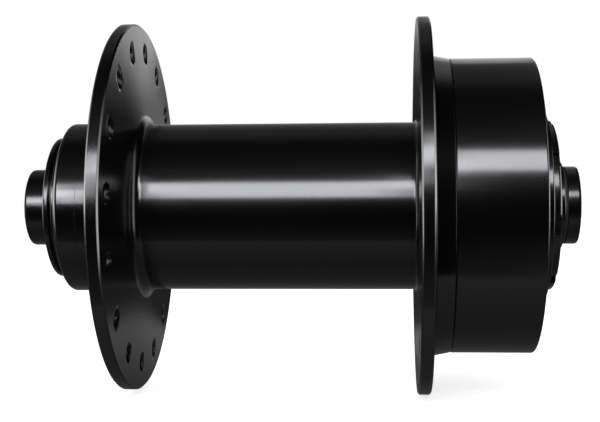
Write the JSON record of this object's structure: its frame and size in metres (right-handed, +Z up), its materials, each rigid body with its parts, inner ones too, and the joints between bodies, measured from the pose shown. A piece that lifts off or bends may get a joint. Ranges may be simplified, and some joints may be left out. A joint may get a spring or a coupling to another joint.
{
  "type": "bicycle front hub",
  "caption": "Black anodised bicycle front hub: two wide drilled spoke flanges on a tube, and a closed drum outside the right flange, turning on a hollow axle.",
  "frame": {"origin": "on the axle's centre line, midway between the two end faces that the fork clamps", "axes": "+Y along the axle towards the drum, +Z up, +X forwards and towards the picture's camera"},
  "size_m": [0.0925, 0.135, 0.0924],
  "materials": {
    "shell_anodised": "satin gloss black anodising on turned aluminium",
    "cover_anodised": "satin gloss black anodising on turned aluminium",
    "housing_anodised": "satin black anodising with a fine grain",
    "lock_ring_anodised": "glossy black anodising",
    "end_cap_anodised": "satin gloss black anodising on turned aluminium",
    "axle_aluminium": "plain turned aluminium",
    "bearing_steel": "ground bearing steel",
    "ball_steel": "polished steel",
    "cage_plastic": "moulded natural nylon",
    "seal_rubber": "moulded black rubber",
    "bearing_seal_rubber": "rubber faced steel washer",
    "flux_steel": "rolled soft steel",
    "magnet_nickel": "nickel plate",
    "claw_steel": "pressed electrical steel",
    "bobbin_plastic": "moulded plastic",
    "winding_copper": "enamelled copper wire",
    "nut_steel": "zinc plated steel",
    "wire_insulation": "insulated wire",
    "terminal_plastic": "moulded black plastic",
    "terminal_brass": "stamped brass"
  },
  "bodies": {
    "fixed_axle": {"axle": "axle_aluminium", "left_end_cap": "end_cap_anodised", "left_cap_ring": "seal_rubber", "left_dust_cap": "end_cap_anodised", "right_end_cap": "end_cap_anodised", "right_cap_ring": "seal_rubber", "collar_ring": "seal_rubber", "left_inner_race": "bearing_steel", "right_inner_race": "bearing_steel", "left_claw_plate": "claw_steel", "right_claw_plate": "claw_steel", "stator_core": "claw_steel", "coil_bobbin": "bobbin_plastic", "coil_winding": "winding_copper", "stator_nut": "nut_steel", "lead_wires": "wire_insulation", "terminal_block": "terminal_plastic", "terminal_blades": "terminal_brass"},
    "turning_shell": {"hub_shell": "shell_anodised", "left_bearing_cover": "cover_anodised", "left_cover_seal": "seal_rubber", "generator_housing": "housing_anodised", "housing_seal_ring": "seal_rubber", "bearing_lock_ring": "lock_ring_anodised", "lock_ring_seal": "seal_rubber", "flux_ring": "flux_steel", "magnets": "magnet_nickel", "left_outer_race": "bearing_steel", "right_outer_race": "bearing_steel", "left_bearing_seals": "bearing_seal_rubber", "right_bearing_seals": "bearing_seal_rubber"},
    "left_ball_set": {"left_balls": "ball_steel", "left_ball_cage": "cage_plastic"},
    "right_ball_set": {"right_balls": "ball_steel", "right_ball_cage": "cage_plastic"}
  },
  "joints": [
    {"name": "shell_spin", "type": "hinge", "parent": "fixed_axle", "child": "turning_shell", "pos_m": [0, 0, 0], "axis": [0, 1, 0], "continuous": true},
    {"name": "left_balls_spin", "type": "hinge", "parent": "fixed_axle", "child": "left_ball_set", "pos_m": [0, -0.0465, 0], "axis": [0, 1, 0], "continuous": true},
    {"name": "right_balls_spin", "type": "hinge", "parent": "fixed_axle", "child": "right_ball_set", "pos_m": [0, 0.0535, 0], "axis": [0, 1, 0], "continuous": true}
  ],
  "couplings": [
    {"joint": "left_balls_spin", "follows": "shell_spin", "ratio": 0.5851},
    {"joint": "right_balls_spin", "follows": "shell_spin", "ratio": 0.5851}
  ]
}
